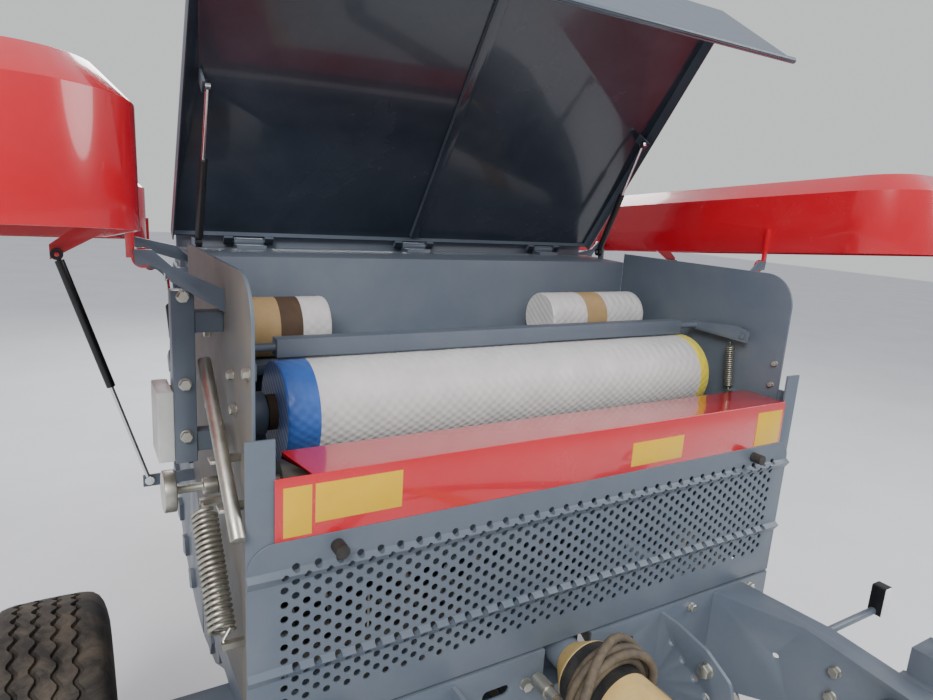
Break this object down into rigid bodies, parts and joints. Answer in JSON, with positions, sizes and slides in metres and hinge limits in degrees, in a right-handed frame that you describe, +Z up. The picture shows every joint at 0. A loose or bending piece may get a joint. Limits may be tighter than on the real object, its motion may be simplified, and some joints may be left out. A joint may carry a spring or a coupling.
{
  "type": "round baler",
  "caption": "Towed round baler with a fixed chamber, pickup, net wrap box under a raised lid, raised side covers, a V drawbar and a side jack.",
  "frame": {"origin": "on the ground under the middle of the object's box", "axes": "+X to the machine's own left, +Y to its rear, +Z up; the drawbar points to -Y"},
  "size_m": [3.264, 4.036, 2.5362],
  "materials": {
    "graphite": "satin",
    "signal_red": "gloss",
    "galvanised": "dull",
    "zinc": "satin",
    "bare_steel": "worn",
    "rim_grey": "satin",
    "chrome": "polished",
    "tyre": "matt",
    "rubber": "matt",
    "black_plastic": "satin",
    "guard_yellow": "satin",
    "white_plastic": "satin",
    "net_white": "matt",
    "core_board": "matt",
    "lamp_white": "gloss"
  },
  "bodies": {
    "machine": {"axle": "graphite", "chamber_sides": "graphite", "chamber_rollers": "bare_steel", "chamber_skin": "graphite", "cross_member": "graphite", "drawbar_beams": "graphite", "tongue": "graphite", "jack_case": "galvanised", "net_box_sides": "graphite", "net_box_back": "graphite", "front_panel": "graphite", "knife_cover": "signal_red", "panel_buffers": "rubber", "feed_roller_rubber": "rubber", "feed_roller_steel": "bare_steel", "spare_rolls": "net_white", "gearbox": "graphite", "pto_shield": "guard_yellow", "marker_lamps": "lamp_white", "side_post": "graphite", "net_lever": "galvanised", "control_box": "white_plastic", "side_spring": "zinc", "pressure_gauge": "zinc", "hose_coil": "rubber", "hose_fitting": "chrome", "hose_coupler": "bare_steel"},
    "wheel_left": {"tyre_left": "tyre", "rim_left": "rim_grey"},
    "wheel_right": {"tyre_right": "tyre", "rim_right": "rim_grey"},
    "jack_leg": {"jack_leg": "galvanised"},
    "net_roll": {"net_core": "core_board", "net_roll": "net_white"},
    "hold_bar": {"hold_bar": "graphite"},
    "lid": {"lid": "graphite"},
    "lid_strut_tubes": {"lid_strut_tubes": "black_plastic"},
    "lid_strut_rods": {"lid_strut_rods": "chrome"},
    "front_cover_left": {"front_cover_left": "signal_red"},
    "front_cover_right": {"front_cover_right": "signal_red"},
    "cover_strut_tube_left": {"cover_strut_tube_left": "black_plastic"},
    "cover_strut_tube_right": {"cover_strut_tube_right": "black_plastic"},
    "cover_strut_rod_left": {"cover_strut_rod_left": "chrome"},
    "cover_strut_rod_right": {"cover_strut_rod_right": "chrome"},
    "rear_cover_left": {"rear_cover_left": "signal_red"},
    "rear_cover_right": {"rear_cover_right": "signal_red"},
    "tailgate": {"tailgate_sides": "graphite", "tailgate_skin": "signal_red", "tailgate_rollers": "bare_steel"},
    "tail_cylinder_tubes": {"tail_cylinder_tubes": "black_plastic"},
    "tail_cylinder_rods": {"tail_cylinder_rods": "chrome"},
    "pickup": {"pickup_frame": "graphite", "pickup_bands": "galvanised"},
    "pickup_reel": {"pickup_reel": "zinc"},
    "gauge_wheel_left": {"gauge_wheel_left": "rubber"},
    "gauge_wheel_right": {"gauge_wheel_right": "rubber"},
    "wind_guard": {"wind_guard": "graphite"},
    "feed_rotor": {"feed_rotor": "bare_steel"},
    "pto_guard": {"pto_guard": "guard_yellow"},
    "pto_shaft": {"pto_shaft": "bare_steel"}
  },
  "joints": [
    {"name": "wheel_left_spin", "type": "hinge", "parent": "machine", "child": "wheel_left", "pos_m": [1.063, 0.75, 0.422], "axis": [1, 0, 0], "continuous": true},
    {"name": "wheel_right_spin", "type": "hinge", "parent": "machine", "child": "wheel_right", "pos_m": [-1.063, 0.75, 0.422], "axis": [1, 0, 0], "continuous": true},
    {"name": "jack_slide", "type": "slide", "parent": "machine", "child": "jack_leg", "axis": [0, 0, 1], "range_m": [0, 0.25]},
    {"name": "net_roll_spin", "type": "hinge", "parent": "machine", "child": "net_roll", "pos_m": [0, 0.315, 1.483], "axis": [1, 0, 0], "continuous": true},
    {"name": "hold_bar_swing", "type": "hinge", "parent": "machine", "child": "hold_bar", "pos_m": [0, 0.16, 1.618], "axis": [1, 0, 0], "range_deg": [0, 60]},
    {"name": "lid_swing", "type": "hinge", "parent": "machine", "child": "lid", "pos_m": [0, 0.922, 1.794], "axis": [1, 0, 0], "range_deg": [0, 54.5]},
    {"name": "lid_strut_swing", "type": "hinge", "parent": "machine", "child": "lid_strut_tubes", "pos_m": [0, 0.79, 1.8], "axis": [1, 0, 0], "range_deg": [0, 73]},
    {"name": "lid_strut_slide", "type": "slide", "parent": "lid_strut_tubes", "child": "lid_strut_rods", "axis": [0, 0.4035, -0.915], "range_m": [0, 0.059]},
    {"name": "front_cover_left_swing", "type": "hinge", "parent": "machine", "child": "front_cover_left", "pos_m": [0.85, 0.5, 1.81], "axis": [0, 1, 0], "range_deg": [0, 90]},
    {"name": "front_cover_right_swing", "type": "hinge", "parent": "machine", "child": "front_cover_right", "pos_m": [-0.85, 0.5, 1.81], "axis": [0, -1, 0], "range_deg": [0, 90]},
    {"name": "cover_strut_left_swing", "type": "hinge", "parent": "front_cover_left", "child": "cover_strut_tube_left", "pos_m": [0.985, 0.716, 1.771], "axis": [0, -1, 0], "range_deg": [0, 108]},
    {"name": "cover_strut_right_swing", "type": "hinge", "parent": "front_cover_right", "child": "cover_strut_tube_right", "pos_m": [-0.985, 0.716, 1.771], "axis": [0, 1, 0], "range_deg": [0, 108]},
    {"name": "cover_strut_left_slide", "type": "slide", "parent": "cover_strut_tube_left", "child": "cover_strut_rod_left", "axis": [0.2838, 0, 0.9589], "range_m": [0, 0.122]},
    {"name": "cover_strut_right_slide", "type": "slide", "parent": "cover_strut_tube_right", "child": "cover_strut_rod_right", "axis": [-0.2838, 0, 0.9589], "range_m": [0, 0.122]},
    {"name": "tailgate_swing", "type": "hinge", "parent": "machine", "child": "tailgate", "pos_m": [0, 1.29, 1.86], "axis": [1, 0, 0], "range_deg": [0, 72]},
    {"name": "rear_cover_left_swing", "type": "hinge", "parent": "tailgate", "child": "rear_cover_left", "pos_m": [0.72, 1.6, 1.662], "axis": [0, 1, 0], "range_deg": [0, 90]},
    {"name": "rear_cover_right_swing", "type": "hinge", "parent": "tailgate", "child": "rear_cover_right", "pos_m": [-0.72, 1.6, 1.662], "axis": [0, -1, 0], "range_deg": [0, 90]},
    {"name": "tail_cylinder_swing", "type": "hinge", "parent": "machine", "child": "tail_cylinder_tubes", "pos_m": [0, 1, 1.15], "axis": [1, 0, 0], "range_deg": [0, 5.6]},
    {"name": "tail_cylinder_slide", "type": "slide", "parent": "tail_cylinder_tubes", "child": "tail_cylinder_rods", "axis": [0, 0.6508, 0.7593], "range_m": [0, 0.293]},
    {"name": "pickup_lift", "type": "hinge", "parent": "machine", "child": "pickup", "pos_m": [0, 0.52, 0.56], "axis": [-1, 0, 0], "range_deg": [0, 14]},
    {"name": "reel_spin", "type": "hinge", "parent": "pickup", "child": "pickup_reel", "pos_m": [0, 0.19, 0.3], "axis": [1, 0, 0], "continuous": true},
    {"name": "gauge_wheel_left_spin", "type": "hinge", "parent": "pickup", "child": "gauge_wheel_left", "pos_m": [0.93, 0.06, 0.177], "axis": [1, 0, 0], "continuous": true},
    {"name": "gauge_wheel_right_spin", "type": "hinge", "parent": "pickup", "child": "gauge_wheel_right", "pos_m": [-0.93, 0.06, 0.177], "axis": [1, 0, 0], "continuous": true},
    {"name": "wind_guard_swing", "type": "hinge", "parent": "pickup", "child": "wind_guard", "pos_m": [0, 0.4, 0.54], "axis": [-1, 0, 0], "range_deg": [0, 10]},
    {"name": "feed_rotor_spin", "type": "hinge", "parent": "machine", "child": "feed_rotor", "pos_m": [0, 0.59, 0.64], "axis": [1, 0, 0], "continuous": true},
    {"name": "pto_swing", "type": "hinge", "parent": "machine", "child": "pto_shaft", "pos_m": [0, -0.25, 0.915], "axis": [-1, 0, 0], "range_deg": [0, 14]},
    {"name": "pto_guard_spin", "type": "hinge", "parent": "pto_shaft", "child": "pto_guard", "pos_m": [0, -0.25, 0.915], "axis": [0, -0.9877, -0.1564], "continuous": true}
  ],
  "couplings": [
    {"joint": "lid_strut_swing", "follows": "lid_swing", "ratio": 1.3063},
    {"joint": "lid_strut_slide", "follows": "lid_swing", "m_per_rad": 0.06037},
    {"joint": "tail_cylinder_swing", "follows": "tailgate_swing", "ratio": 0.07597},
    {"joint": "tail_cylinder_slide", "follows": "tailgate_swing", "m_per_rad": 0.23173},
    {"joint": "cover_strut_left_swing", "follows": "front_cover_left_swing", "ratio": 1.1899},
    {"joint": "cover_strut_left_slide", "follows": "front_cover_left_swing", "m_per_rad": 0.07671},
    {"joint": "cover_strut_right_swing", "follows": "front_cover_right_swing", "ratio": 1.1899},
    {"joint": "cover_strut_right_slide", "follows": "front_cover_right_swing", "m_per_rad": 0.07671}
  ]
}
